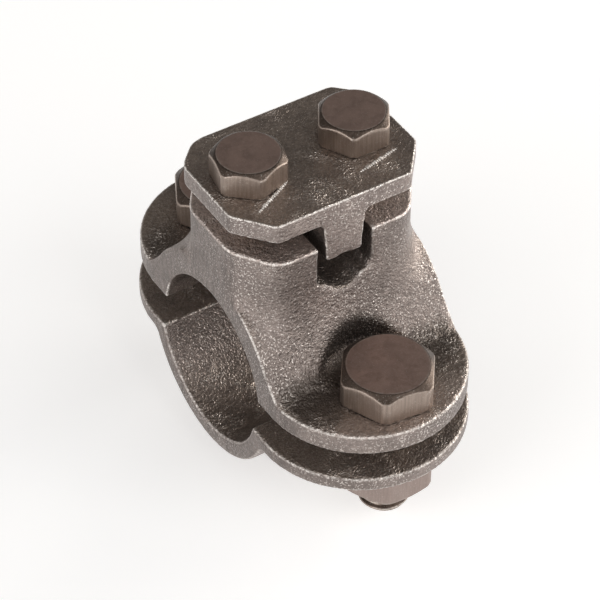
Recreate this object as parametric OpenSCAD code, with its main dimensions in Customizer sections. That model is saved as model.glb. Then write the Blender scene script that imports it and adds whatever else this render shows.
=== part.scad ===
// Earthing pipe clamp.
// A cast saddle and a strap grip a pipe between two clamp bolts. A bolted cap plate presses a
// round conductor into a slot across the saddle's top.
// Millimetres, +Z up. The origin is on the pipe's axis, midway between the two clamp bolts.
// The pipe runs along X. The conductor lies along Y, over the front and rear clamp bolts.

/* [Pipe and conductor] */
// Diameter of the pipe that the clamp grips
pipe_d = 33.7; // [30:0.1:36]
// Diameter of the round conductor that lies in the slot
rod_d = 8; // [7:0.1:9]
// Clearance of the conductor's groove round the conductor
seat_gap = 0.05; // [0:0.01:0.1]
// Metal between the pipe's crown and the conductor's groove
crown_wall = 3.8; // [3:0.1:5]

/* [Saddle casting] */
// Width of the saddle along the pipe
saddle_w = 39.8; // [38:0.1:44]
// Wall of the arch over the pipe
arch_wall = 5.4; // [4.5:0.1:7]
// Thickness of the two ears
ear_t = 4.4; // [3:0.1:6]
// Height of the ears' top face over the pipe's axis
ear_top = 6.7; // [5:0.1:8]
// Distance from a clamp bolt's axis to the tip of its ear
ear_tip = 11.3; // [10.5:0.1:14]
// Height of the two pillars over the conductor's axis
pillar_rise = 7.7; // [7:0.1:10]
// Length of the two pillars along the conductor
pillar_len = 30.4; // [28:0.1:32]
// Corner chamfer of the pillars, along the pipe and along the conductor
pillar_cut = [5.8, 8.2]; // [4:0.1:9]
// Radius of the sweep from the pillars down to the ears
sweep_r = 23; // [20:0.5:26]
// Height of the sweep's upper end under the pillars' top
sweep_drop = 8; // [6:0.1:11]
// Radius of the sweep on the corner chamfers
corner_sweep_r = 15; // [13:0.5:18]
// Height of the sweep's upper end on the corner chamfers, under its height on the flat faces
corner_drop = 0.8; // [0.4:0.1:1.5]
// Radius of the pocket round each clamp bolt's head
pocket_r = 12.4; // [10.4:0.1:12.6]
// Width of the slot between the pillars
slot_w = 11.6; // [11:0.1:13]
// Height of the slot's floor under the conductor's axis
slot_drop = 2.1; // [1.5:0.1:3]
// Radius of the slot's floor corners
slot_corner_r = 2.2; // [0.5:0.1:2.4]

/* [Strap] */
// Width of the strap along the pipe
strap_w = 42; // [38:0.1:46]
// Thickness of the strap's ears
strap_t = 3; // [2:0.1:4]
// Thickness of the strap's bow under the pipe
bow_t = 3.7; // [3:0.1:5]
// Gap between the saddle's ears and the strap's ears
ear_gap = 6.5; // [4:0.1:8]
// Distance from a clamp bolt's axis to the tip of its strap ear
strap_tip = 11.3; // [10.5:0.1:14]
// Inner radius of the bend from the strap's bow to its ears
strap_bend_r = 2.5; // [1:0.1:4]

/* [Cap plate] */
// Width of the cap plate along the pipe
cap_w = 40.1; // [38:0.1:44]
// Distance from the centre to the cap plate's front face
cap_front = 14.8; // [14:0.1:17]
// Distance from the centre to the cap plate's rear face
cap_rear = 13.9; // [12:0.1:16]
// Front corner chamfer of the cap plate, along the pipe and along the conductor
cap_front_cut = [5.8, 7.1]; // [4:0.1:8]
// Rear corner chamfer of the cap plate, along the pipe and along the conductor
cap_rear_cut = [5.2, 5.2]; // [3:0.1:7]
// Thickness of the cap plate
cap_t = 4; // [3:0.1:6]
// Gap between the pillars and the cap plate on the clamped conductor
cap_gap = 5.1; // [3:0.1:6]
// Width of the rib at its foot
rib_w = 7.4; // [7:0.1:9]
// Width that the rib gains from its foot up to the plate
rib_taper = 1.6; // [0:0.1:2]
// Depth of the groove in the rib's foot
rib_groove = 0.4; // [0.2:0.05:0.8]
// Radius of the fillets between the rib and the plate
rib_fillet = 1.6; // [0.5:0.1:2]

/* [Bolts and nuts] */
// Distance between the two clamp bolts
clamp_pitch = 59.9; // [57:0.1:62]
// Thread diameter of the clamp bolts
clamp_bolt_d = 10; // [9:0.1:10.6]
// Width across the flats of the clamp bolts and nuts
clamp_af = 17; // [16:0.1:17.4]
// Height of the clamp bolts' heads
clamp_head_h = 6.4; // [5:0.1:8]
// Length of the clamp bolts under the head
clamp_bolt_len = 29; // [26:0.5:40]
// Height of the clamp nuts
clamp_nut_h = 8; // [6:0.1:9]
// Distance between the two cap bolts
cap_pitch = 22.5; // [21:0.1:25]
// Thread diameter of the cap bolts
cap_bolt_d = 8; // [7:0.1:8.4]
// Width across the flats of the cap bolts' heads
cap_af = 13; // [12:0.1:13.4]
// Height of the cap bolts' heads
cap_head_h = 5.5; // [4:0.1:6.5]
// Length of the cap bolts under the head
cap_bolt_len = 20; // [16:0.5:20]
// Turn of each cap bolt's head about its axis, left and right
cap_turn = [19, 58]; // [0:1:59]
// Turn of each clamp bolt's head about its axis, front and rear
clamp_turn = [54, 2]; // [0:1:59]
// Clearance round a bolt in its through hole
hole_gap = 0.5; // [0.2:0.05:0.8]
// Clearance round a bolt in its thread
thread_gap = 0.05; // [0.02:0.01:0.09]

/* [Hidden] */
$fn = 64;
// Overlap of a cut past the face that it opens
past = 1;
// Depth by which a sweep dips into the face above it, so that the two don't only touch
graze = 0.03;

pipe_r = pipe_d / 2;
seat_r = rod_d / 2 + seat_gap;
rod_z = pipe_r + crown_wall + seat_r;
arch_r = pipe_r + arch_wall;
ear_bottom = ear_top - ear_t;
strap_top = ear_bottom - ear_gap;
strap_bottom = strap_top - strap_t;
pillar_top = rod_z + pillar_rise;
sweep_z = pillar_top - sweep_drop;
cap_bottom = pillar_top + cap_gap;
cap_top = cap_bottom + cap_t;
rib_bottom = rod_z + seat_r - rib_groove;
slot_floor = rod_z - slot_drop;
clamp_y = clamp_pitch / 2;
ear_reach = clamp_y + ear_tip;
strap_reach = clamp_y + strap_tip;
cap_x = cap_pitch / 2;
cap_hole_floor = cap_top - cap_bolt_len - 0.6;

// A rounded bar in plan: two half circles joined by straight sides
module ear_plan(w, reach) {
    straight = reach - w / 2;
    square([w, 2 * straight], center = true);
    for (side = [-1, 1])
        translate([0, side * straight])
            circle(d = w);
}

// Outline of the cap plate: a rectangle with its corners cut off
module cut_corner_plan(w, front, rear, front_cut, rear_cut) {
    polygon([
        [-w / 2, -front + front_cut.y], [-w / 2 + front_cut.x, -front],
        [w / 2 - front_cut.x, -front], [w / 2, -front + front_cut.y],
        [w / 2, rear - rear_cut.y], [w / 2 - rear_cut.x, rear],
        [-w / 2 + rear_cut.x, rear], [-w / 2, rear - rear_cut.y]
    ]);
}

// Extrudes a profile drawn in (Y, Z) along X, over the given width
module along_x(w) {
    rotate([90, 0, 90])
        translate([0, 0, -w / 2])
            linear_extrude(w)
                children();
}

// Extrudes a profile drawn in (X, Z) along Y, from y = -front to y = rear
module along_y(front, rear) {
    translate([0, rear, 0])
        rotate([90, 0, 0])
            linear_extrude(front + rear)
                children();
}

// What is cut away in front of an upright face that sweeps outward at its foot.
// The face stands at a distance from the Z axis and looks in the given direction.
// Its sweep has the radius r and starts at the given height.
module swept_cut(direction, distance, r, start) {
    rotate([0, 0, direction])
        along_y(ear_reach, ear_reach) {
            translate([distance + r - graze, start])
                circle(r = r, $fn = 128);
            translate([distance, start])
                square([2 * r, pillar_top - start + past]);
        }
}

// The two pillars' common block: upright sides that sweep out into the arch and the ears
module swept_tower() {
    half_w = saddle_w / 2;
    half_len = pillar_len / 2;
    // Direction of the chamfer on a front corner, and its distance from the Z axis
    cut_turn = atan2(pillar_cut.x, pillar_cut.y);
    cut_distance = (half_w * pillar_cut.y + (half_len - pillar_cut.y) * pillar_cut.x)
        / norm(pillar_cut);
    difference() {
        translate([0, 0, ear_bottom])
            linear_extrude(pillar_top - ear_bottom)
                ear_plan(saddle_w, ear_reach);
        for (direction = [-90, 90])
            swept_cut(direction, half_len, sweep_r, sweep_z);
        for (direction = [-cut_turn, cut_turn, 180 - cut_turn, 180 + cut_turn])
            swept_cut(direction, cut_distance, corner_sweep_r, sweep_z - corner_drop);
    }
}

// Hexagon prism standing on z = 0: rounded corners, and edges turned down by 30 degrees
module hex_body(af, h, both_ends = false) {
    corner_r = af * 0.556;
    face_r = af * 0.475;
    drop = (corner_r - face_r) * tan(30);
    intersection() {
        cylinder(d = af / cos(30), h = h, $fn = 6);
        rotate_extrude()
            polygon([
                [0, 0], [both_ends ? face_r : corner_r, 0],
                [corner_r, both_ends ? drop : 0.01], [corner_r, h - drop],
                [face_r, h], [0, h]
            ]);
    }
}

// Hexagon bolt: head on top of z = 0, shank below it with a chamfered tip
module hex_bolt(d, af, head_h, len, turn) {
    tip = d * 0.12;
    rotate([0, 0, turn])
        hex_body(af, head_h);
    rotate_extrude()
        polygon([[0, 0.1], [d / 2, 0.1], [d / 2, tip - len], [d / 2 - tip, -len], [0, -len]]);
}

module saddle() {
    color([0.62, 0.59, 0.57])
    difference() {
        intersection() {
            translate([0, 0, ear_bottom])
                linear_extrude(pillar_top - ear_bottom)
                    ear_plan(saddle_w, ear_reach);
            union() {
                translate([-ear_reach, -ear_reach, ear_bottom - past])
                    cube([2 * ear_reach, 2 * ear_reach, ear_t + past]);
                difference() {
                    union() {
                        along_x(saddle_w + 2 * past)
                            circle(r = arch_r, $fn = 128);
                        swept_tower();
                    }
                    for (side = [-1, 1])
                        translate([0, side * clamp_y, ear_bottom - past])
                            cylinder(r = pocket_r, h = pillar_top - ear_bottom);
                }
            }
        }
        along_x(saddle_w + 2 * past)
            circle(r = pipe_r, $fn = 128);
        saddle_slot();
        for (side = [-1, 1]) {
            translate([0, side * clamp_y, ear_bottom - past])
                cylinder(r = clamp_bolt_d / 2 + hole_gap, h = ear_t + 2 * past);
            translate([side * cap_x, 0, cap_hole_floor])
                cylinder(r = cap_bolt_d / 2 + thread_gap, h = pillar_top - cap_hole_floor + past);
        }
    }
}

// Slot between the pillars: a groove that fits the conductor, under a wider throat
module saddle_slot() {
    along_y(ear_reach, ear_reach) {
        translate([0, rod_z])
            circle(r = seat_r);
        for (side = [-1, 1])
            translate([side * (slot_w / 2 - slot_corner_r), slot_floor + slot_corner_r])
                circle(r = slot_corner_r);
        translate([-slot_w / 2 + slot_corner_r, slot_floor])
            square([slot_w - 2 * slot_corner_r, pillar_rise]);
        translate([-slot_w / 2, slot_floor + slot_corner_r])
            square([slot_w, pillar_top - slot_floor]);
    }
}

module strap() {
    bow_r = pipe_r + bow_t;
    // Centre of the fillet that runs from the bow's outside into each ear's underside
    fillet_z = strap_bottom - strap_bend_r;
    fillet_y = sqrt(pow(bow_r + strap_bend_r - graze, 2) - pow(fillet_z, 2));
    // Share of the way from the axis to that centre that lies inside the bow
    inside = (bow_r - past) / (bow_r + strap_bend_r);
    color([0.6, 0.58, 0.57])
    difference() {
        intersection() {
            along_x(strap_w)
                difference() {
                    union() {
                        circle(r = bow_r, $fn = 128);
                        translate([-strap_reach, strap_bottom])
                            square([2 * strap_reach, strap_t]);
                        for (side = [0, 1])
                            mirror([side, 0])
                                difference() {
                                    polygon([
                                        [fillet_y * inside, fillet_z * inside],
                                        [fillet_y, fillet_z],
                                        [fillet_y, strap_bottom + past],
                                        [fillet_y * inside, strap_bottom + past]
                                    ]);
                                    translate([fillet_y, fillet_z])
                                        circle(r = strap_bend_r);
                                }
                    }
                    circle(r = pipe_r, $fn = 128);
                    translate([-2 * strap_reach, strap_top])
                        square([4 * strap_reach, bow_r + past]);
                }
            translate([0, 0, -bow_r - past])
                linear_extrude(bow_r + past)
                    ear_plan(strap_w, strap_reach);
        }
        for (side = [-1, 1])
            translate([0, side * clamp_y, strap_bottom - past])
                cylinder(r = clamp_bolt_d / 2 + hole_gap, h = strap_t + 2 * past);
    }
}

// Profile of the rib in (X, Z): tapered sides, fillets up to the plate and a grooved foot
module rib_profile() {
    half_foot = rib_w / 2;
    half_top = half_foot + rib_taper / 2;
    lean = atan2(rib_taper / 2, cap_bottom - rib_bottom);
    // Centre of the fillet between the rib's side and the plate, and where it leaves the side
    fillet_x = half_top + rib_fillet * (1 / cos(lean) - tan(lean));
    fillet_z = cap_bottom - rib_fillet;
    leave_x = fillet_x - rib_fillet * cos(lean);
    leave_z = fillet_z + rib_fillet * sin(lean);
    difference() {
        union() {
            polygon([
                [-half_foot, rib_bottom], [half_foot, rib_bottom],
                [half_top, cap_bottom + 0.1], [-half_top, cap_bottom + 0.1]
            ]);
            difference() {
                polygon([
                    [-leave_x, leave_z], [leave_x, leave_z], [fillet_x, fillet_z],
                    [fillet_x, cap_bottom + 0.1], [-fillet_x, cap_bottom + 0.1],
                    [-fillet_x, fillet_z]
                ]);
                for (side = [-1, 1])
                    translate([side * fillet_x, fillet_z])
                        circle(r = rib_fillet);
            }
        }
        translate([0, rod_z])
            circle(r = seat_r);
    }
}

module cap_plate() {
    color([0.58, 0.55, 0.52])
    difference() {
        union() {
            translate([0, 0, cap_bottom])
                linear_extrude(cap_t)
                    cut_corner_plan(cap_w, cap_front, cap_rear, cap_front_cut, cap_rear_cut);
            along_y(cap_front, cap_rear)
                rib_profile();
        }
        for (side = [-1, 1])
            translate([side * cap_x, 0, cap_bottom - past])
                cylinder(r = cap_bolt_d / 2 + hole_gap, h = cap_t + 2 * past);
    }
}

module cap_bolt(side, turn) {
    color([0.6, 0.55, 0.5])
        translate([side * cap_x, 0, cap_top])
            hex_bolt(cap_bolt_d, cap_af, cap_head_h, cap_bolt_len, turn);
}

module cap_bolt_left() { cap_bolt(-1, cap_turn[0]); }

module cap_bolt_right() { cap_bolt(1, cap_turn[1]); }

module clamp_bolt(side, turn) {
    color([0.6, 0.55, 0.5])
        translate([0, side * clamp_y, ear_top])
            hex_bolt(clamp_bolt_d, clamp_af, clamp_head_h, clamp_bolt_len, turn);
}

module clamp_bolt_front() { clamp_bolt(-1, clamp_turn[0]); }

module clamp_bolt_rear() { clamp_bolt(1, clamp_turn[1]); }

module clamp_nut(side, turn) {
    color([0.6, 0.55, 0.5])
        translate([0, side * clamp_y, strap_bottom - clamp_nut_h])
            difference() {
                rotate([0, 0, turn])
                    hex_body(clamp_af, clamp_nut_h, both_ends = true);
                translate([0, 0, -past])
                    cylinder(r = clamp_bolt_d / 2 + thread_gap, h = clamp_nut_h + 2 * past);
            }
}

module clamp_nut_front() { clamp_nut(-1, 0); }

module clamp_nut_rear() { clamp_nut(1, 0); }

saddle();
strap();
cap_plate();
cap_bolt_left();
cap_bolt_right();
clamp_bolt_front();
clamp_bolt_rear();
clamp_nut_front();
clamp_nut_rear();
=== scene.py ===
import math
import bmesh
import bpy
import numpy as np
from mathutils import Matrix, Vector


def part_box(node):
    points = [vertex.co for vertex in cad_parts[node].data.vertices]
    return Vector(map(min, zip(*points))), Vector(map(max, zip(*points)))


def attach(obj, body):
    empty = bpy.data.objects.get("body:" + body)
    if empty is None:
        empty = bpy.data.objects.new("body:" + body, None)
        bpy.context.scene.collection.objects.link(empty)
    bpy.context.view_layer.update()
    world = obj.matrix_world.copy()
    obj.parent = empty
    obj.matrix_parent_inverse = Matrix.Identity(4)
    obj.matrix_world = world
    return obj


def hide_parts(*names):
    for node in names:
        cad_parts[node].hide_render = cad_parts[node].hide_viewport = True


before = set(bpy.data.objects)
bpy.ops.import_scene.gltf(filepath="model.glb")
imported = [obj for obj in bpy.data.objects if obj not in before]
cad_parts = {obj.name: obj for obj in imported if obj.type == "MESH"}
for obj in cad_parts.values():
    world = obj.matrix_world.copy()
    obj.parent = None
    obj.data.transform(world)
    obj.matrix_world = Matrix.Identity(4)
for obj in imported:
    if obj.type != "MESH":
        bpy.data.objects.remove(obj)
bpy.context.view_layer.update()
mm = 0.001
print("frame loaded", len(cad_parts), "nodes")


# Camera: the photograph's viewpoint, found by fitting the clamp's edges

camera = {
    "place": (-0.210985, -0.331978, 0.375908),
    "right": (0.846457, -0.532436, 0.004708),
    "up": (0.362345, 0.582483, 0.727613),
    "back": (-0.390149, -0.614187, 0.685972),
    "lens": 170.185,
    "sensor": 36.0,
    "nearest": 0.01,
    "farthest": 20,
}


def placeCamera(values):
    data = bpy.data.cameras.new("photoView")
    data.lens = values["lens"]
    data.sensor_width = values["sensor"]
    data.clip_start = values["nearest"]
    data.clip_end = values["farthest"]
    rig = bpy.data.objects.new("photoView", data)
    turn = Matrix((values["right"], values["up"], values["back"])).transposed()
    rig.matrix_world = Matrix.Translation(values["place"]) @ turn.to_4x4()
    bpy.context.scene.collection.objects.link(rig)
    bpy.context.scene.camera = rig


placeCamera(camera)


# Shader helpers: nodes are added in a row, and their sockets take numbers, colours or other nodes

class Nodes:
    def __init__(self, tree):
        self.tree = tree
        self.x = -1400

    def add(self, kind, **settings):
        node = self.tree.nodes.new(kind)
        node.location = (self.x, -60)
        self.x += 40
        for name, value in settings.items():
            setattr(node, name, value)
        return node

    def link(self, source, target):
        self.tree.links.new(source, target)

    def feed(self, socket, value):
        if isinstance(value, tuple):
            socket.default_value = (*value, 1.0)
        elif isinstance(value, (int, float)):
            socket.default_value = value
        else:
            self.link(value, socket)

    def math(self, operation, first, second=None, clamp=False):
        node = self.add("ShaderNodeMath", operation=operation, use_clamp=clamp)
        self.feed(node.inputs[0], first)
        if second is not None:
            self.feed(node.inputs[1], second)
        return node.outputs[0]

    def multiply(self, first, second, clamp=False):
        return self.math("MULTIPLY", first, second, clamp)

    def split(self, vector):
        node = self.add("ShaderNodeSeparateXYZ")
        self.link(vector, node.inputs[0])
        return node.outputs

    def mapped(self, vector, setting, value):
        node = self.add("ShaderNodeMapping")
        node.inputs[setting].default_value = value
        self.link(vector, node.inputs["Vector"])
        return node.outputs[0]

    def noise(self, vector, scale, detail, rough, distortion=0.0):
        node = self.add("ShaderNodeTexNoise")
        self.link(vector, node.inputs["Vector"])
        self.feed(node.inputs["Scale"], scale)
        self.feed(node.inputs["Detail"], detail)
        self.feed(node.inputs["Roughness"], rough)
        self.feed(node.inputs["Distortion"], distortion)
        return node.outputs["Fac"]

    def spread(self, value, low, high, outLow=0.0, outHigh=1.0, smooth=False):
        node = self.add("ShaderNodeMapRange")
        if smooth:
            node.interpolation_type = "SMOOTHSTEP"
        self.link(value, node.inputs["Value"])
        self.feed(node.inputs["From Min"], low)
        self.feed(node.inputs["From Max"], high)
        self.feed(node.inputs["To Min"], outLow)
        self.feed(node.inputs["To Max"], outHigh)
        return node.outputs["Result"]

    # Noise cut into patches: low and high are where in the noise a patch begins and is full
    def patches(self, vector, low, high, outLow=0.0, outHigh=1.0, **pattern):
        return self.spread(self.noise(vector, **pattern), low, high, outLow, outHigh)

    def mixColour(self, factor, first, second):
        node = self.add("ShaderNodeMix", data_type="RGBA")
        sockets = {socket.identifier: socket for socket in node.inputs}
        self.feed(sockets["Factor_Float"], factor)
        self.feed(sockets["A_Color"], first)
        self.feed(sockets["B_Color"], second)
        return next(s for s in node.outputs if s.identifier == "Result_Color")


def shade(colour, share):
    return tuple(share * value for value in colour)


def makeGroup(name, inputs, outputs):
    group = bpy.data.node_groups.new(name, "ShaderNodeTree")
    for label, value in inputs:
        socket = group.interface.new_socket(label, in_out="INPUT", socket_type="NodeSocketFloat")
        socket.default_value = value
    for label in outputs:
        group.interface.new_socket(label, in_out="OUTPUT", socket_type="NodeSocketFloat")
    nodes = Nodes(group)
    return group, nodes, nodes.add("NodeGroupInput").outputs, nodes.add("NodeGroupOutput").inputs


# Sizes are against the group's own grain size, and heights against the bump's depth
grainShape = {
    "coarseSize": 0.4,
    "glintSize": 1.25,
    "speckSize": 0.6,
    "fineHeight": 0.8,
    "coarseHeight": 0.7,
    "glintSoftness": 0.12,
}


# Blasted cast skin: fine pits and bumps, glinting grains and slow changes of tone
def makeCastGrain(values):
    group, n, given, out = makeGroup(
        "castGrain",
        [("Grain Size", 2300.0), ("Patch Size", 150.0), ("Glint Share", 0.57)],
        ["Height", "Glint", "Patch", "Speck"])
    where = n.add("ShaderNodeTexCoord").outputs["Object"]
    size = given["Grain Size"]
    fine = n.noise(where, size, detail=2.0, rough=0.6)
    coarse = n.noise(where, n.multiply(size, values["coarseSize"]), detail=2.0, rough=0.6)
    raised = n.multiply(fine, values["fineHeight"])
    n.link(n.math("ADD", raised, n.multiply(coarse, values["coarseHeight"])), out["Height"])
    glint = n.noise(where, n.multiply(size, values["glintSize"]), detail=1.0, rough=0.5)
    full = n.math("ADD", given["Glint Share"], values["glintSoftness"])
    n.link(n.spread(glint, given["Glint Share"], full), out["Glint"])
    speck = n.noise(where, n.multiply(size, values["speckSize"]), detail=3.0, rough=0.7)
    n.link(n.spread(speck, 0.3, 0.7), out["Speck"])
    patch = n.noise(where, given["Patch Size"], detail=3.0, rough=0.6, distortion=0.4)
    n.link(n.spread(patch, 0.3, 0.7), out["Patch"])
    return group


# Bright edges, partly rubbed and partly painted highlight: the mesh attribute rim holds how sharply a
# surface bends outward, in 1/mm
def makeEdgeWear():
    group, n, given, out = makeGroup(
        "edgeWear", [("Low", 0.5), ("High", 1.2)], ["Mask", "Recess"])
    rim = n.add("ShaderNodeAttribute", attribute_name="rim").outputs["Fac"]
    where = n.add("ShaderNodeTexCoord").outputs["Object"]
    breakUp = n.patches(where, scale=1500.0, detail=2.0, rough=0.6, low=0.36, high=0.56)
    worn = n.spread(rim, given["Low"], given["High"])
    n.link(n.multiply(worn, breakUp, clamp=True), out["Mask"])
    # the second output passes on the painted shade (positive) and painted light (negative) stored on the
    # mesh
    n.link(n.add("ShaderNodeAttribute", attribute_name="recess").outputs["Fac"], out["Recess"])
    return group


castGrain = makeCastGrain(grainShape)
edgeWear = makeEdgeWear()


def useGroup(n, group, **values):
    node = n.add("ShaderNodeGroup", node_tree=group)
    for name, value in values.items():
        node.inputs[name.replace("_", " ")].default_value = value
    return node.outputs


def startMaterial(name):
    material = bpy.data.materials.new(name)
    material.use_nodes = True
    tree = material.node_tree
    tree.nodes.clear()
    n = Nodes(tree)
    shader = n.add("ShaderNodeBsdfPrincipled")
    n.link(shader.outputs[0], n.add("ShaderNodeOutputMaterial").inputs["Surface"])
    return material, n, shader


def bump(n, shader, height, look):
    node = n.add("ShaderNodeBump")
    node.inputs["Strength"].default_value = look["bumpStrength"]
    node.inputs["Distance"].default_value = look["bumpDepth"]
    n.link(height, node.inputs["Height"])
    n.link(node.outputs["Normal"], shader.inputs["Normal"])


# Tones are against the colour that they darken or lighten, and shares are how much of them shows
castLook = {
    "dark": (0.222, 0.184, 0.154),
    "light": (0.396, 0.331, 0.301),
    "glint": (0.82, 0.75, 0.70),
    "worn": (0.92, 0.87, 0.82),
    "metallic": 0.95,
    "roughness": 0.39,
    "glintPolish": 0.2,
    "patchTone": 0.74,
    # brown tops, partly the casting's own tone and partly painted shade: how far a face leans back before
    # it is one
    "topLean": (0.62, 0.97),
    "topShare": 0.68,
    "topTone": 1.9,
    "slow": {"scale": 75.0, "detail": 3.0, "rough": 0.6, "distortion": 0.3, "low": 0.35, "high": 0.65},
    "mottle": {"scale": 330.0, "detail": 3.0, "rough": 0.65, "distortion": 0.4,
               "low": 0.34, "high": 0.5, "outLow": 1.0, "outHigh": 0.0},
    "mottleShare": 0.45,
    "mottleTone": 0.4,
    # the cheeks that look along x, darkened as painted shade, with upright streaks
    "cheekLean": (0.85, 0.99),
    "cheekShare": 0.93,
    "cheekTones": (0.80, 0.36),
    "streakStretch": (1.0, 1.0, 0.12),
    "streaks": {"scale": 1500.0, "detail": 2.0, "rough": 0.6, "low": 0.3, "high": 0.7},
    # painted light where the mesh attribute for painted shade and light is negative, and painted shade
    # where it is positive
    "openShare": 0.35,
    "paintedLightShare": 0.85,
    "paintedLightTone": 2.1,
    "paintedShadeShare": 0.72,
    "paintedShadeTone": 0.35,
    # broad clouds on the sweeps and sides, and small specks all over
    "broad": {"scale": 72.0, "detail": 2.0, "rough": 0.5, "distortion": 0.4,
              "low": 0.38, "high": 0.62, "outHigh": 0.42},
    "broadTone": 0.4,
    "speckShare": 0.55,
    "speckTone": 0.25,
    # bright grains: fewer on smooth faces, thinned by calm and gathered in clusters on the tops
    "glintShare": 0.68,
    "smoothGlintShare": 0.3,
    "cheekSmooth": 0.6,
    "calm": {"scale": 88.0, "detail": 2.0, "rough": 0.5, "distortion": 0.3,
             "low": 0.38, "high": 0.62, "outLow": 0.4, "outHigh": 1.15},
    "clusterShift": (0.021, 0.013, 0.0),
    "cluster": {"scale": 125.0, "detail": 2.0, "rough": 0.6, "distortion": 0.3, "low": 0.52, "high": 0.66},
    "clusterShare": 0.8,
    "sparkle": {"scale": 1900.0, "detail": 1.0, "rough": 0.5, "low": 0.57, "high": 0.63},
    "lumps": {"scale": 2600.0, "detail": 1.0, "rough": 0.5},
    "lumpHeight": 1.3,
    # rubbed edges, partly painted highlight, by how sharply they bend in 1/mm
    "wornHighlightBend": (0.45, 1.1),
    "wornHighlightShare": 0.85,
    "bumpStrength": 1.0,
    "bumpDepth": 0.00034,
}


# A blasted and pickled casting: brownish top faces, partly its own tone and partly painted shade, lighter
# sides with painted shade on the cheeks, painted shade and light where the mesh marks them, and bright
# grains
def castSteel(name, look):
    material, n, shader = startMaterial(name)
    light, dark = look["light"], look["dark"]
    grain = useGroup(n, castGrain)
    wear = useGroup(n, edgeWear, Low=look["wornHighlightBend"][0], High=look["wornHighlightBend"][1])
    coordinates = n.add("ShaderNodeTexCoord").outputs
    where = coordinates["Object"]
    lean = n.split(coordinates["Normal"])
    flatTop = n.spread(lean["Z"], *look["topLean"], smooth=True)
    cheek = n.spread(n.math("ABSOLUTE", lean["X"]), *look["cheekLean"], smooth=True)

    streaks = n.patches(n.mapped(where, "Scale", look["streakStretch"]), **look["streaks"])
    # the cheeks' darker tones are painted shade; the streaks are the skin's own
    cheekTone = n.mixColour(streaks, *(shade(light, tone) for tone in look["cheekTones"]))
    tone = n.mixColour(grain["Patch"], light, shade(light, look["patchTone"]))
    tone = n.mixColour(n.multiply(cheek, look["cheekShare"], clamp=True), tone, cheekTone)

    # the tops' brown is partly the casting's own tone and partly painted shade
    topTone = n.mixColour(n.patches(where, **look["slow"]), dark, shade(dark, look["topTone"]))
    mottle = n.multiply(n.patches(where, **look["mottle"]), look["mottleShare"])
    topTone = n.mixColour(mottle, topTone, shade(dark, look["mottleTone"]))
    # painted light: less of the tops' brown, and a paler tone on the pillars' tops and the front ear's end
    openTop = n.spread(wear["Recess"], -1.0, 0.0, look["openShare"], 1.0)
    topMask = n.multiply(n.multiply(flatTop, look["topShare"]), openTop)
    tone = n.mixColour(topMask, tone, topTone)

    pale = n.spread(wear["Recess"], -1.0, 0.0, look["paintedLightShare"], 0.0)
    tone = n.mixColour(pale, tone, shade(light, look["paintedLightTone"]))
    broad = n.multiply(n.patches(where, **look["broad"]), n.math("SUBTRACT", 1.0, flatTop))
    tone = n.mixColour(broad, tone, shade(light, look["broadTone"]))
    # painted shade in the pockets and at the sweeps' feet
    deep = n.multiply(wear["Recess"], look["paintedShadeShare"], clamp=True)
    tone = n.mixColour(deep, tone, shade(dark, look["paintedShadeTone"]))
    speck = n.multiply(grain["Speck"], look["speckShare"])
    tone = n.mixColour(speck, tone, shade(light, look["speckTone"]))

    smoothFace = n.math("MAXIMUM", flatTop, n.multiply(cheek, look["cheekSmooth"]))
    glintLevel = n.spread(smoothFace, 0.0, 1.0, look["glintShare"], look["smoothGlintShare"])
    glint = n.multiply(n.multiply(grain["Glint"], glintLevel), n.patches(where, **look["calm"]))
    cluster = n.patches(n.mapped(where, "Location", look["clusterShift"]), **look["cluster"])
    sparkle = n.multiply(cluster, n.patches(where, **look["sparkle"]))
    sparkle = n.multiply(sparkle, n.multiply(flatTop, look["clusterShare"]))
    glint = n.math("MAXIMUM", glint, sparkle)
    tone = n.mixColour(glint, tone, look["glint"])
    # rubbed edges, lightened partly as painted highlight
    tone = n.mixColour(n.multiply(wear["Mask"], look["wornHighlightShare"]), tone, look["worn"])

    n.link(tone, shader.inputs["Base Color"])
    shader.inputs["Metallic"].default_value = look["metallic"]
    polish = n.multiply(glint, look["glintPolish"])
    n.link(n.math("SUBTRACT", look["roughness"], polish), shader.inputs["Roughness"])
    lumps = n.multiply(n.multiply(cluster, flatTop), n.noise(where, **look["lumps"]))
    height = n.math("ADD", grain["Height"], n.multiply(lumps, look["lumpHeight"]))
    bump(n, shader, height, look)
    return material


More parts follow.
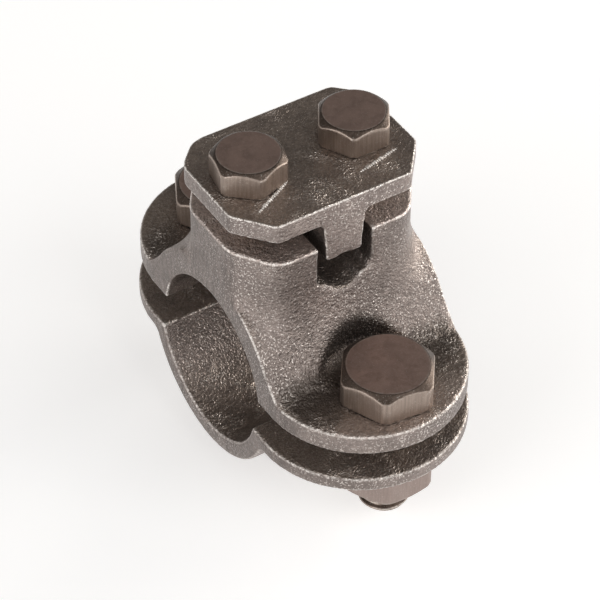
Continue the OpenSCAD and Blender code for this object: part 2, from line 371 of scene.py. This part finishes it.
boltLook = {
    "top": (0.505, 0.368, 0.322),
    "cone": (0.050, 0.037, 0.028),
    "side": (0.400, 0.325, 0.275),
    "worn": (0.92, 0.88, 0.82),
    "metallic": 0.95,
    "roughness": 0.36,
    "roughSpread": (-0.05, 0.1),
    "grain": {"Grain_Size": 3000.0, "Patch_Size": 240.0, "Glint_Share": 0.62},
    "speckShare": 0.25,
    "speckTone": 0.5,
    "glintLevel": 0.15,
    # drawn sides, with fine upright lines
    "drawnShare": 0.7,
    "drawnDark": 0.45,
    "drawnStretch": (1.0, 1.0, 0.05),
    "drawn": {"scale": 3300.0, "detail": 3.0, "rough": 0.6, "low": 0.32, "high": 0.68},
    # brown tops inside a dark cone: how far a face leans back before it is one of them
    "topLean": (0.90, 0.99),
    "coneLean": (0.55, 0.75),
    "topShare": 0.97,
    "patchTone": 0.72,
    "blotch": {"scale": 420.0, "detail": 3.0, "rough": 0.65, "distortion": 0.4,
               "low": 0.34, "high": 0.52, "outLow": 0.42, "outHigh": 0.0},
    "blotchTone": 0.45,
    # the ring where top and cone meet, and the rubbed edges, both partly painted highlight, by how sharply
    # they bend in 1/mm
    "ringBend": (0.22, 0.8),
    "ringShare": 0.4,
    "wornHighlightBend": (0.8, 2.0),
    "uneven": {"scale": 260.0, "detail": 2.0, "rough": 0.5,
               "low": 0.38, "high": 0.56, "outLow": 0.3, "outHigh": 0.95},
    # painted highlight on the edges on the side towards -y and +x
    "highlightAside": 0.35,
    "highlightFacing": {"low": -0.1, "high": 0.5, "outLow": 0.3, "outHigh": 1.0},
    "bumpStrength": 0.5,
    "bumpDepth": 0.00005,
}


# Forged heads with a brown tint on top, drawn sides and bright edges, partly rubbed and partly painted
# highlight
def boltSteel(name, look):
    material, n, shader = startMaterial(name)
    top, side = look["top"], look["side"]
    grain = useGroup(n, castGrain, **look["grain"])
    wear = useGroup(n, edgeWear, Low=look["wornHighlightBend"][0], High=look["wornHighlightBend"][1])
    ring = useGroup(n, edgeWear, Low=look["ringBend"][0], High=look["ringBend"][1])
    coordinates = n.add("ShaderNodeTexCoord").outputs
    where = coordinates["Object"]
    lean = n.split(coordinates["Normal"])
    flatTop = n.spread(lean["Z"], *look["topLean"], smooth=True)
    cone = n.spread(lean["Z"], *look["coneLean"], smooth=True)

    drawn = n.patches(n.mapped(where, "Scale", look["drawnStretch"]), **look["drawn"])
    drawnTone = shade(side, 1 - look["drawnDark"] * look["drawnShare"])
    sideTone = n.mixColour(drawn, side, drawnTone)

    topTone = n.mixColour(grain["Patch"], top, shade(top, look["patchTone"]))
    blotch = n.patches(where, **look["blotch"])
    topTone = n.mixColour(blotch, topTone, shade(top, look["blotchTone"]))
    # the ring's light tone is partly painted highlight
    topTone = n.mixColour(n.multiply(ring["Mask"], look["ringShare"]), topTone, look["worn"])
    topTone = n.mixColour(flatTop, look["cone"], topTone)

    tone = n.mixColour(n.multiply(cone, look["topShare"]), sideTone, topTone)
    speck = n.multiply(grain["Speck"], look["speckShare"])
    tone = n.mixColour(speck, tone, shade(top, look["speckTone"]))
    tone = n.mixColour(n.multiply(grain["Glint"], look["glintLevel"]), tone, look["worn"])
    # painted highlight, strongest on the edges that face -y and +x
    towards = n.math("SUBTRACT", n.multiply(lean["X"], look["highlightAside"]), lean["Y"])
    uneven = n.multiply(n.patches(where, **look["uneven"]), n.spread(towards, **look["highlightFacing"]))
    tone = n.mixColour(n.multiply(wear["Mask"], uneven), tone, look["worn"])

    n.link(tone, shader.inputs["Base Color"])
    shader.inputs["Metallic"].default_value = look["metallic"]
    least, most = (look["roughness"] + change for change in look["roughSpread"])
    n.link(n.spread(grain["Patch"], 0.0, 1.0, least, most), shader.inputs["Roughness"])
    bump(n, shader, grain["Height"], look)
    return material


capLook = {**castLook, "light": (0.455, 0.380, 0.348)}
# the beads' near-white tone is a painted highlight
beadLook = {**castLook, "light": (0.94, 0.89, 0.84), "topShare": 0.0, "glintShare": 1.0}
nutLook = {**boltLook, "side": (0.370, 0.298, 0.268), "drawnShare": 0.35, "roughness": 0.45}

castMaterial = castSteel("castStainless", castLook)
capMaterial = castSteel("castCapStainless", capLook)
beadMaterial = castSteel("castBead", beadLook)
nutMaterial = boltSteel("nutStainless", nutLook)
boltMaterial = boltSteel("boltStainless", boltLook)
print("materials built")


# Mesh helpers

weldDistance = 0.002 * mm


def takeMesh(node, name):
    piece = bpy.data.objects.new(name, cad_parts[node].data.copy())
    piece.data.materials.clear()
    bpy.context.scene.collection.objects.link(piece)
    return piece


def applyModifiers(piece):
    graph = bpy.context.evaluated_depsgraph_get()
    mesh = bpy.data.meshes.new_from_object(piece.evaluated_get(graph))
    piece.modifiers.clear()
    piece.data = mesh


def remesh(piece, size):
    weld = piece.modifiers.new("weld", "WELD")
    weld.merge_threshold = weldDistance
    skin = piece.modifiers.new("remesh", "REMESH")
    skin.mode = "VOXEL"
    skin.voxel_size = size
    applyModifiers(piece)


def readPoints(mesh):
    points = np.empty(len(mesh.vertices) * 3)
    mesh.vertices.foreach_get("co", points)
    return points.reshape(-1, 3)


def writePoints(mesh, points):
    mesh.vertices.foreach_set("co", points.ravel())
    mesh.update()


# Every point beside each point that an edge joins it to, and how many neighbours each one has
def readNeighbours(mesh):
    ends = np.empty(len(mesh.edges) * 2, dtype=np.int64)
    mesh.edges.foreach_get("vertices", ends)
    ends = ends.reshape(-1, 2)
    own, other = np.concatenate([ends, ends[:, ::-1]]).T
    return own, other, np.bincount(own, minlength=len(mesh.vertices))


# Goes smoothly from 0 at the low limit to 1 at the high one
def ramp(values, low, high):
    t = np.clip((values - low) / (high - low), 0, 1)
    return t * t * (3 - 2 * t)


# The same, with the limits measured from a place
def rampFrom(values, place, limits):
    return ramp(values, place + limits[0], place + limits[1])


# Rounds a piece's edges: moves each point towards the mean of its neighbours.
# With a step back after each step, it only evens out jagged edges.
def relax(piece, rounds, share, back=0.0):
    points = readPoints(piece.data)
    own, other, number = readNeighbours(piece.data)
    amount = share(points)[:, None]
    low, high = points.min(0), points.max(0)
    steps = [1.0, -back] if back else [1.0]
    for step in steps * rounds:
        sums = [np.bincount(own, points[other, axis], len(points)) for axis in range(3)]
        points += step * amount * (np.stack(sums, 1) / number[:, None] - points)
    writePoints(piece.data, np.clip(points, low, high))


def evenShare(points):
    return np.full(len(points), 0.5)


# Shortest edge in millimetres, sharpest bend in 1/mm, and how often the bends are evened out
rimValues = {
    "shortest": 0.01,
    "mostBend": 6,
    "smoothRounds": 2,
}


# Stores how sharply the surface bends outward at each point, in 1/mm, and the painted shade (positive) and
# painted light (negative) that it takes
def markRims(piece, recess=None, wear=None):
    mesh = piece.data
    count = len(mesh.vertices)
    points = readPoints(mesh) / mm
    normals = np.empty(count * 3)
    mesh.vertex_normals.foreach_get("vector", normals)
    normals = normals.reshape(-1, 3)
    own, other, number = readNeighbours(mesh)
    number = np.maximum(number, 1)
    step = points[other] - points[own]
    square = np.maximum((step ** 2).sum(1), rimValues["shortest"] ** 2)
    rise = -(step * normals[own]).sum(1) / square * 2
    rise = np.clip(rise, -rimValues["mostBend"], rimValues["mostBend"])
    bend = np.bincount(own, rise, count) / number
    for _ in range(rimValues["smoothRounds"]):
        bend = 0.5 * bend + 0.5 * np.bincount(own, bend[other], count) / number
    if wear:
        bend *= wear(points)
    depth = recess(points) if recess else np.zeros(count)
    for name, values in (("rim", bend), ("recess", depth)):
        attribute = mesh.attributes.new(name, "FLOAT", "POINT")
        attribute.data.foreach_set("value", values.astype(np.float32))


def shadeSmooth(piece):
    piece.data.polygons.foreach_set("use_smooth", [True] * len(piece.data.polygons))
    piece.data.update()


def finishPiece(piece, body, node, material):
    piece.data.materials.clear()
    piece.data.materials.append(material)
    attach(piece, body)
    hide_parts(node)


# Castings: saddle, strap and cap plate

# In millimetres, apart from voxel. A pair is where an effect begins and where it is full, measured
# from the edge or face that it is named for.
saddleShape = {
    "voxel": 0.31 * mm,
    "mostFaces": 190000,
    "halfWidth": 19.9,
    "endCentre": 21.35,
    "boreRadius": 16.85,
    "pillarTop": 32.4,
    "earTop": 6.7,
    "slotHalf": 5.8,
    "slotFloor": 22.6,
    "grooveRadius": 4.05,
    "grooveHeight": 24.7,
    "boltPlace": 29.95,
    "pocketRadius": 12.4,
    # how often the points move, and how much of the jag comes back at each even round
    "rounds": 4,
    "evenRounds": 24,
    "evenBack": 1.04,
    "softRounds": 190,
    # how far from each edge the soft rounding keeps
    "softShare": 0.5,
    "rimClear": (0.5, 2.2),
    "pillarFoot": (19, 24),
    "topClear": (-2.0, -0.5),
    "earClear": (-1.2, -0.2),
    "boreClear": (0.5, 2.0),
    "slotClear": (0.9, 2.4),
    "slotLeast": 0.06,
    "pocketClear": (0.4, 1.8),
    "pocketHeight": (0.8, 2.2),
    "pocketLeast": 0.1,
    # the pillars' outline from above, and the radii of its upright corners
    "outline": [(-19.9, -7.0), (-14.1, -15.2), (14.1, -15.2), (19.9, -7.0),
                (19.9, 7.0), (14.1, 15.2), (-14.1, 15.2), (-19.9, 7.0)],
    "cornerRadii": [6.0, 5.0, 5.0, 6.0, 6.0, 5.0, 5.0, 6.0],
    "cornerHeight": (17, 24),
}

strapShape = {
    "voxel": 0.34 * mm,
    "mostFaces": 170000,
    "rounds": 4,
}

capShape = {
    "voxel": 0.25 * mm,
    "rounds": 4,
    "outline": [(-20.05, -7.7), (-14.25, -14.8), (14.25, -14.8), (20.05, -7.7),
                (20.05, 8.7), (14.85, 13.9), (-14.85, 13.9), (-20.05, 8.7)],
    "cornerRadii": [3.0, 2.0, 1.5, 1.5, 1.5, 2.5, 6.0, 4.5],
    "cornerHeight": (36.5, 37.2),
}


# How far inside the saddle's upright rim a point lies, in millimetres
def insideRim(x, y):
    return saddleShape["halfWidth"] - np.hypot(x, np.maximum(np.abs(y) - saddleShape["endCentre"], 0))


# Strong rounding of the sweeps' feet and the pillars' sides, little at the rims, slot and pockets
def saddleShare(points):
    s = saddleShape
    x, y, z = points.T / mm
    clearOfRim = np.maximum(ramp(insideRim(x, y), *s["rimClear"]), ramp(z, *s["pillarFoot"]))
    clearOfTop = 1 - rampFrom(z, s["pillarTop"], s["topClear"])
    clearOfEar = rampFrom(z, s["earTop"], s["earClear"])
    clearOfBore = rampFrom(np.hypot(y, z), s["boreRadius"], s["boreClear"])
    groove = np.hypot(x, z - s["grooveHeight"]) - s["grooveRadius"]
    slot = np.minimum(groove, np.maximum(np.abs(x) - s["slotHalf"], s["slotFloor"] - z))
    clearOfSlot = np.maximum(ramp(slot, *s["slotClear"]), s["slotLeast"])
    pocket = np.abs(np.hypot(x, np.abs(y) - s["boltPlace"]) - s["pocketRadius"])
    low = 1 - rampFrom(z, s["earTop"], s["pocketHeight"])
    low = s["pocketLeast"] + (1 - s["pocketLeast"]) * low
    clearOfPocket = np.maximum(ramp(pocket, *s["pocketClear"]), low)
    share = s["softShare"] * clearOfRim * clearOfTop * clearOfEar
    return share * clearOfBore * clearOfSlot * clearOfPocket


# Where the saddle takes painted shade and painted light, and where its rear edges dull. Pairs as in
# saddleShape. footEnd, earEnd and rear are measured along y, from the clamp's middle.
saddleTone = {
    "pocketEdge": (0.0, 1.1),
    "pocketFloor": (0.2, 1.2),
    "footHeight": (1.0, 3.4),
    "earFace": (-0.7, -0.2),
    "footRim": (0.5, 2.0),
    "footEnd": (26, 33),
    "pillarFace": (-0.6, -0.2),
    "earEnd": (30, 36),
    "earPaintedLight": 0.45,
    "leastPaintedShade": 0.02,
    "sweepFoot": (0.1, 0.7),
    "sweepTop": (-2, -1),
    "rear": (4, 8),
    "rearDull": 0.75,
}


# Positive where shade is painted, in the pockets and at the sweeps' feet, and negative where light is
# painted, on the pillars' tops and on the front ear's end
def saddleRecess(points):
    s, t = saddleShape, saddleTone
    x, y, z = points.T
    earFace = rampFrom(z, s["earTop"], t["earFace"])
    reach = np.hypot(x, np.abs(y) - s["boltPlace"])
    pocket = 1 - rampFrom(reach, s["pocketRadius"], t["pocketEdge"])
    pocket *= rampFrom(z, s["earTop"], t["pocketFloor"])
    foot = (1 - rampFrom(z, s["earTop"], t["footHeight"])) * earFace
    foot *= ramp(insideRim(x, y), *t["footRim"]) * (1 - ramp(np.abs(y), *t["footEnd"]))
    deep = np.maximum(pocket, foot)
    earEnd = t["earPaintedLight"] * ramp(-y, *t["earEnd"]) * earFace
    pale = np.maximum(rampFrom(z, s["pillarTop"], t["pillarFace"]), earEnd)
    return np.where(deep > t["leastPaintedShade"], deep, -pale)


# The rear sweeps' edges on the cheeks get less of the rubbed wear and painted highlight than the front
# ones
def saddleWear(points):
    s, t = saddleShape, saddleTone
    y, z = points.T[1:]
    sweep = rampFrom(z, s["earTop"], t["sweepFoot"]) * (1 - rampFrom(z, s["pillarTop"], t["sweepTop"]))
    return 1 - t["rearDull"] * ramp(y, *t["rear"]) * sweep


# How deep under the skin a corner's rounding reaches and how far outside it starts, in millimetres
cornerValues = {
    "depth": 3,
    "outside": -0.5,
}


# Rounds the upright corners of the shape's outline, above its corner height
def roundCorners(piece, shape):
    points = readPoints(piece.data)
    amount = ramp(points[:, 2] / mm, *shape["cornerHeight"])
    corners = [np.array(corner) for corner in shape["outline"]]
    for place, radius in enumerate(shape["cornerRadii"]):
        corner = corners[place]
        sides = [corners[place - 1] - corner, corners[(place + 1) % len(corners)] - corner]
        sides = [side / np.linalg.norm(side) for side in sides]
        inward = sides[0] + sides[1]
        inward /= np.linalg.norm(inward)
        offset = points[:, :2] / mm - corner
        along = np.maximum(offset @ sides[0], offset @ sides[1])
        depths = []
        for side in sides:
            normal = np.array([-side[1], side[0]])
            normal *= np.sign(normal @ inward)
            depths.append(offset @ normal)
        depth = np.minimum(*depths)
        reach = radius * math.sqrt((1 + sides[0] @ sides[1]) / (1 - sides[0] @ sides[1]))
        move = np.clip(reach - along, 0, None) ** 2 / (2 * radius)
        nearSkin = np.clip(1 - depth / cornerValues["depth"], 0, 1) * (depth > cornerValues["outside"])
        move *= nearSkin * amount
        points[:, :2] += move[:, None] * inward * mm
    writePoints(piece.data, points)


def makeCasting(node, body, name, shape, material):
    piece = takeMesh(node, name)
    remesh(piece, shape["voxel"])
    if "outline" in shape:
        roundCorners(piece, shape)
    if node == "saddle":
        relax(piece, shape["evenRounds"], evenShare, shape["evenBack"])
        relax(piece, shape["softRounds"], saddleShare)
    relax(piece, shape["rounds"], evenShare)
    faces = sum(len(face.vertices) - 2 for face in piece.data.polygons)
    if faces > shape.get("mostFaces", faces):
        fewer = piece.modifiers.new("fewer", "DECIMATE")
        fewer.ratio = shape["mostFaces"] / faces
        applyModifiers(piece)
    shadeSmooth(piece)
    if node == "saddle":
        markRims(piece, saddleRecess, saddleWear)
    else:
        markRims(piece)
    finishPiece(piece, body, node, material)
    print(name, len(piece.data.polygons), "faces")


makeCasting("saddle", "saddle", "castSaddle", saddleShape, castMaterial)
makeCasting("strap", "strap", "castStrap", strapShape, castMaterial)
makeCasting("cap_plate", "cap", "castCap", capShape, capMaterial)


# Two beads on the cap plate, as rows of small joined bumps. In millimetres.

capBead = {
    "rows": [((-15.0, -9.6), (-5.9, -4.8)), ((6.3, -9.8), (16.0, -7.6))],
    "width": 1.05,
    "height": 0.48,
    "top": 41.5,
    "sunk": 0.08,
    "bumps": 19,
    "stepsPerBump": 6,
    "around": 8,
    # a bump's least size, its swell, and how the swell drifts along the row
    "least": 0.08,
    "swell": 0.82,
    "drift": 0.18,
    "driftPace": 37,
    # how soon a row is full at its ends, and the size of its very tip
    "fade": 6,
    "fadeLeast": 0.03,
}


def beadSize(values, t):
    drift = values["swell"] + values["drift"] * math.sin(values["driftPace"] * t)
    swell = values["least"] + abs(math.sin(math.pi * t * values["bumps"])) * drift
    fade = min(1.0, values["fade"] * t, values["fade"] * (1 - t))
    return swell, max(fade, values["fadeLeast"]) ** 0.5


def makeBeads(values):
    bm = bmesh.new()
    around = values["around"]
    for start, end in values["rows"]:
        start, end = Vector(start), Vector(end)
        along = (end - start).normalized()
        across = Vector((-along.y, along.x))
        steps = values["bumps"] * values["stepsPerBump"]
        rings = []
        for step in range(steps + 1):
            t = step / steps
            swell, fade = beadSize(values, t)
            spot = start.lerp(end, t)
            ring = []
            for turn in range(around + 1):
                angle = math.pi * turn / around
                out = 0.5 * values["width"] * math.cos(angle) * swell * fade
                up = values["height"] * math.sin(angle) * swell * fade
                place = spot + across * out
                height = values["top"] - values["sunk"] + up
                ring.append(bm.verts.new((place.x * mm, place.y * mm, height * mm)))
            rings.append(ring)
        for first, second in zip(rings, rings[1:]):
            for turn in range(around):
                bm.faces.new((first[turn], first[turn + 1], second[turn + 1], second[turn]))
            bm.faces.new((first[-1], first[0], second[0], second[-1]))
        bm.faces.new(rings[0])
        bm.faces.new(rings[-1][::-1])
    bmesh.ops.recalc_face_normals(bm, faces=bm.faces)
    mesh = bpy.data.meshes.new("castCapBeads")
    bm.to_mesh(mesh)
    bm.free()
    piece = bpy.data.objects.new("castCapBeads", mesh)
    bpy.context.scene.collection.objects.link(piece)
    shadeSmooth(piece)
    markRims(piece)
    piece.data.materials.append(beadMaterial)
    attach(piece, "cap")


makeBeads(capBead)
print("castings built")


# Bolts: the head comes from the CAD solid, the threaded shank is made here

boltSizes = {
    "cap": {"radius": 4.0 * mm, "pitch": 1.25 * mm, "length": 20 * mm,
            "base": 41.5 * mm, "disc": 5.95 * mm},
    "clamp": {"radius": 5.0 * mm, "pitch": 1.5 * mm, "length": 29 * mm,
              "base": 6.7 * mm, "disc": 7.8 * mm},
}

bolts = {
    "cap_bolt_left": "cap",
    "cap_bolt_right": "cap",
    "clamp_bolt_front": "clamp",
    "clamp_bolt_rear": "clamp",
}

# Depth is against the pitch, the tip's chamfer against the radius, and flank and root give the wave
# between two crests
threadShape = {
    "around": 48,
    "perPitch": 8,
    "depth": 0.61,
    "tip": 0.24,
    "flank": 2.4,
    "root": 0.1,
    "intoHead": 0.3 * mm,
}

# The disc in boltSizes is the flat top's radius, and the cone falls away from it
headShape = {
    "voxel": 0.2 * mm,
    "nutVoxel": 0.25 * mm,
    "rounds": 2,
    "coneSlope": 0.85,
    "coneHeight": 8 * mm,
    "coneSides": 128,
    "cutAbove": 0.02 * mm,
    "cutReach": 0.001 * mm,
}


def threadedShank(bm, centre, values):
    shape = threadShape
    radius, pitch, length = values["radius"], values["pitch"], values["length"]
    depth = shape["depth"] * pitch
    tip = shape["tip"] * radius
    around = shape["around"]
    rows = int(length / pitch * shape["perPitch"])
    rings = []
    for row in range(rows + 1):
        drop = length * row / rows
        height = values["base"] + shape["intoHead"] - drop * (1 + shape["intoHead"] / length)
        ring = []
        for step in range(around):
            phase = (drop / pitch + step / around) % 1.0
            wave = min(1.0, max(0.0, shape["flank"] * abs(phase - 0.5) - shape["root"]))
            reach = radius - depth * (1.0 - wave)
            reach = min(reach, radius - tip + (length - drop))
            angle = 2 * math.pi * step / around
            x = centre[0] + reach * math.cos(angle)
            y = centre[1] + reach * math.sin(angle)
            ring.append(bm.verts.new((x, y, height)))
        rings.append(ring)
    for upper, lower in zip(rings, rings[1:]):
        for step in range(around):
            after = (step + 1) % around
            bm.faces.new((upper[step], upper[after], lower[after], lower[step]))
    bm.faces.new(rings[0][::-1])
    bm.faces.new(rings[-1])


# Turns the head's corners down to a cone, as the steep chamfer in the photograph
def turnHead(piece, centre, values):
    top = max(v.co.z for v in piece.data.vertices)
    disc, height = values["disc"], headShape["coneHeight"]
    bm = bmesh.new()
    bmesh.ops.create_cone(
        bm, cap_ends=True, segments=headShape["coneSides"], depth=height,
        radius1=disc + height / headShape["coneSlope"], radius2=disc,
        matrix=Matrix.Translation((centre[0], centre[1], top - height / 2)))
    tool = bpy.data.objects.new("headCone", bpy.data.meshes.new("headCone"))
    bm.to_mesh(tool.data)
    bm.free()
    bpy.context.scene.collection.objects.link(tool)
    turned = piece.modifiers.new("turned", "BOOLEAN")
    turned.operation = "INTERSECT"
    turned.solver = "EXACT"
    turned.object = tool
    applyModifiers(piece)
    bpy.data.objects.remove(tool)


# Leaves only the head of the CAD bolt, closed where the shank was cut off
def cutShank(piece, values):
    bm = bmesh.new()
    bm.from_mesh(piece.data)
    bmesh.ops.remove_doubles(bm, verts=bm.verts, dist=weldDistance)
    cut = bmesh.ops.bisect_plane(
        bm, geom=bm.verts[:] + bm.edges[:] + bm.faces[:], dist=headShape["cutReach"], clear_inner=True,
        plane_co=(0, 0, values["base"] + headShape["cutAbove"]), plane_no=(0, 0, 1))
    rim = [e for e in cut["geom_cut"] if isinstance(e, bmesh.types.BMEdge)]
    bmesh.ops.edgeloop_fill(bm, edges=rim)
    bm.to_mesh(piece.data)
    bm.free()


def addShank(piece, centre, values):
    bm = bmesh.new()
    bm.from_mesh(piece.data)
    threadedShank(bm, centre, values)
    bmesh.ops.recalc_face_normals(bm, faces=bm.faces)
    bm.to_mesh(piece.data)
    bm.free()


def nodeCentre(node):
    low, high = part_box(node)
    return Vector(((low[0] + high[0]) / 2, (low[1] + high[1]) / 2, 0))


def makeBolt(node, body, name, values, centre):
    piece = takeMesh(node, name)
    cutShank(piece, values)
    turnHead(piece, centre, values)
    remesh(piece, headShape["voxel"])
    relax(piece, headShape["rounds"], evenShare)
    addShank(piece, centre, values)
    shadeSmooth(piece)
    markRims(piece)
    finishPiece(piece, body, node, boltMaterial)


for node, kind in bolts.items():
    makeBolt(node, node, node.replace("_", "") + "Piece", boltSizes[kind], nodeCentre(node))
print("bolts built")

for node, name in (("clamp_nut_front", "clampNutFront"), ("clamp_nut_rear", "clampNutRear")):
    nut = takeMesh(node, name)
    remesh(nut, headShape["nutVoxel"])
    relax(nut, headShape["rounds"], evenShare)
    shadeSmooth(nut)
    markRims(nut)
    finishPiece(nut, "strap", node, nutMaterial)
print("nuts built")


# Studio: pale floor below the strap's lowest place, soft lights and a sky that is dark on one side

studio = {
    "floorTop": -27.8 * mm,
    "floorSize": 6.0,
    "floorColour": (0.86, 0.86, 0.86, 1),
    "floorRoughness": 0.9,
    "floorSheen": 0.1,
    "floorGlow": 0.38,
    "skyBright": (0.74, 0.73, 0.72),
    "skyDark": (0.210, 0.198, 0.186),
    "darkSide": (0.30, 0.55, 0.78),
    "darkFrom": (0.25, 0.75),
}

# Place, target, size, power and colour
lamps = {
    "rightLow": ((0.9, -0.1, 0.2), (0, 0, 0.015), (0.7, 0.35), 5.0, (1.0, 0.97, 0.92)),
    "frontHigh": ((0.25, -0.9, 0.75), (0, 0, 0.01), (0.9, 0.5), 3.2, (1, 1, 1)),
    "leftSoft": ((-0.9, -0.2, 0.5), (0, 0, 0.01), (0.6, 0.6), 2.4, (1, 1, 1)),
}


def makeFloor(values):
    bm = bmesh.new()
    bmesh.ops.create_grid(bm, x_segments=2, y_segments=2, size=values["floorSize"])
    mesh = bpy.data.meshes.new("floor")
    bm.to_mesh(mesh)
    bm.free()
    floor = bpy.data.objects.new("floor", mesh)
    floor.location.z = values["floorTop"]
    bpy.context.scene.collection.objects.link(floor)
    material, n, shader = startMaterial("paleFloor")
    shader.inputs["Base Color"].default_value = values["floorColour"]
    shader.inputs["Roughness"].default_value = values["floorRoughness"]
    shader.inputs["Specular IOR Level"].default_value = values["floorSheen"]
    shader.inputs["Emission Color"].default_value = (1, 1, 1, 1)
    shader.inputs["Emission Strength"].default_value = values["floorGlow"]
    mesh.materials.append(material)


def makeLamp(name, place, target, size, power, colour):
    data = bpy.data.lights.new(name, "AREA")
    data.shape = "RECTANGLE"
    data.size, data.size_y = size
    data.energy = power
    data.color = colour
    lamp = bpy.data.objects.new(name, data)
    lamp.location = place
    lamp.rotation_euler = (Vector(target) - Vector(place)).to_track_quat("-Z", "Y").to_euler()
    bpy.context.scene.collection.objects.link(lamp)


def makeSky(values):
    world = bpy.data.worlds.new("studio")
    world.use_nodes = True
    n = Nodes(world.node_tree)
    background = world.node_tree.nodes["Background"]
    where = n.add("ShaderNodeTexCoord").outputs["Generated"]
    side = n.add("ShaderNodeVectorMath", operation="DOT_PRODUCT")
    n.link(where, side.inputs[0])
    side.inputs[1].default_value = Vector(values["darkSide"]).normalized()
    dark = n.spread(side.outputs["Value"], *values["darkFrom"], smooth=True)
    n.link(n.mixColour(dark, values["skyBright"], values["skyDark"]), background.inputs["Color"])
    background.inputs["Strength"].default_value = 1.0
    bpy.context.scene.world = world


makeFloor(studio)
makeSky(studio)
for name, settings in lamps.items():
    makeLamp(name, *settings)
bpy.context.scene.view_settings.view_transform = "Standard"
print("studio built")
